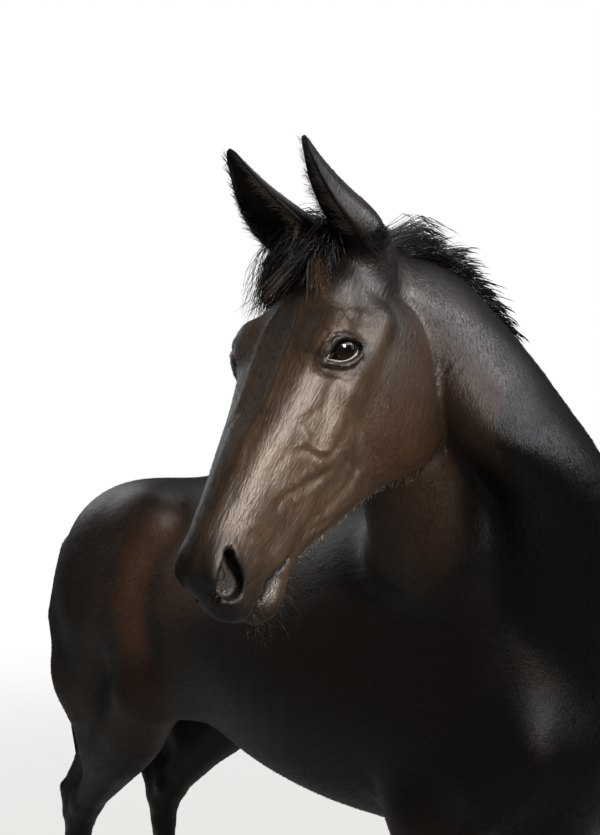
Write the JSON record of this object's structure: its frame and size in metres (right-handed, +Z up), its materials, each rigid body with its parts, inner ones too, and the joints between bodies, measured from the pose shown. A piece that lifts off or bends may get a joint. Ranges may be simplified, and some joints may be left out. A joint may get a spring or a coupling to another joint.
{
  "type": "horse",
  "caption": "Life-size still model of a dark bay riding horse, standing, with its neck raised and its head turned back to the right.",
  "frame": {"origin": "on the ground, under the middle of the whole horse's box", "axes": "+X the way the trunk faces, +Y to the horse's left, +Z up"},
  "size_m": [1.7586, 1.1004, 2.1303],
  "materials": {
    "coat": "short sleek hair, very dark brown, satin",
    "long_hair": "coarse black hair",
    "hoof": "dark horn with fine growth rings",
    "eye": "wet, clear and very dark"
  },
  "bodies": {
    "root": {"trunk": "coat", "neck": "coat", "head": "coat", "ear_left": "coat", "ear_right": "coat", "eye_left": "eye", "eye_right": "eye", "mane": "long_hair", "forelock": "long_hair", "tail": "long_hair", "forearm_left": "coat", "fore_cannon_left": "coat", "fore_hoof_left": "hoof", "forearm_right": "coat", "fore_cannon_right": "coat", "fore_hoof_right": "hoof", "gaskin_left": "coat", "hind_cannon_left": "coat", "hind_hoof_left": "hoof", "gaskin_right": "coat", "hind_cannon_right": "coat", "hind_hoof_right": "hoof"}
  },
  "joints": []
}
